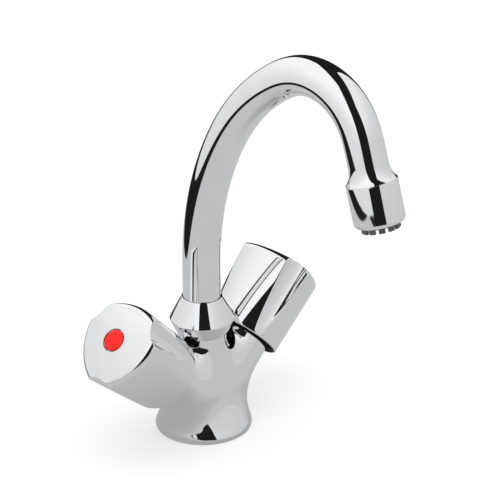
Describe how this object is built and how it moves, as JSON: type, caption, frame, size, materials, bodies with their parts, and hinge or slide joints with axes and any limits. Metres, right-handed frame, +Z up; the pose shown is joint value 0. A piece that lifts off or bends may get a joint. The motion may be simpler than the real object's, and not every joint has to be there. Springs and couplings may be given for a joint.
{
  "type": "bathroom mixer faucet",
  "caption": "Deck-mounted two-handle basin mixer: flared casting with two angled valves, lobed turning handles and a swivelling arched tube spout with an aerator.",
  "frame": {"origin": "On the spout's swivel axis, on the flat underside of the base that seats on the basin deck", "axes": "+Z up along the swivel axis; the spout points towards -Y at rest; the hot valve is on the -X side and the cold valve on the +X side"},
  "size_m": [0.1516, 0.1553, 0.2227],
  "materials": {
    "chrome": "polished chrome plate",
    "brass": "turned brass",
    "steel": "stainless steel",
    "rubber": "black EPDM rubber",
    "slide_plastic": "natural acetal",
    "aerator_plastic": "dark grey moulded plastic",
    "insert_plastic": "off-white nylon",
    "hot_red": "glossy red plastic",
    "cold_blue": "glossy blue plastic"
  },
  "bodies": {
    "base": {"body": "chrome", "base_gasket": "rubber", "spout_collar": "chrome", "slide_ring_lower": "slide_plastic", "hot_bonnet": "brass", "hot_bonnet_seal": "rubber", "cold_bonnet": "brass", "cold_bonnet_seal": "rubber"},
    "spout": {"slide_ring_upper": "slide_plastic", "spout_foot": "brass", "spout_seal_lower": "rubber", "spout_seal_upper": "rubber", "spout_tube": "chrome", "spout_end_bush": "brass", "aerator_housing": "chrome", "aerator_seal": "rubber", "aerator_strainer": "steel", "aerator_insert": "aerator_plastic"},
    "hot_turning": {"hot_spindle": "brass", "hot_spindle_o_ring": "rubber", "hot_spindle_circlip": "steel", "hot_handle": "chrome", "hot_handle_insert": "insert_plastic", "hot_handle_screw": "steel", "hot_index_disc": "hot_red"},
    "cold_turning": {"cold_spindle": "brass", "cold_spindle_o_ring": "rubber", "cold_spindle_circlip": "steel", "cold_handle": "chrome", "cold_handle_insert": "insert_plastic", "cold_handle_screw": "steel", "cold_index_disc": "cold_blue"},
    "hot_lifting": {"hot_jumper": "brass", "hot_jumper_washer": "rubber", "hot_jumper_screw": "brass"},
    "cold_lifting": {"cold_jumper": "brass", "cold_jumper_washer": "rubber", "cold_jumper_screw": "brass"}
  },
  "joints": [
    {"name": "spout_swivel", "type": "hinge", "parent": "base", "child": "spout", "pos_m": [0, 0, 0], "axis": [0, 0, 1], "continuous": true},
    {"name": "hot_handle_turn", "type": "hinge", "parent": "base", "child": "hot_turning", "pos_m": [0, 0, 0.01395], "axis": [-0.7385, 0, 0.6743], "range_deg": [0, 540]},
    {"name": "hot_valve_lift", "type": "slide", "parent": "base", "child": "hot_lifting", "axis": [-0.7385, 0, 0.6743], "range_m": [0, 0.00455]},
    {"name": "cold_handle_turn", "type": "hinge", "parent": "base", "child": "cold_turning", "pos_m": [0, 0, 0.01395], "axis": [0.7385, 0, 0.6743], "range_deg": [0, 540]},
    {"name": "cold_valve_lift", "type": "slide", "parent": "base", "child": "cold_lifting", "axis": [0.7385, 0, 0.6743], "range_m": [0, 0.00455]}
  ],
  "couplings": [
    {"joint": "hot_valve_lift", "follows": "hot_handle_turn", "m_per_rad": 0.00047746},
    {"joint": "cold_valve_lift", "follows": "cold_handle_turn", "m_per_rad": 0.00047746}
  ]
}
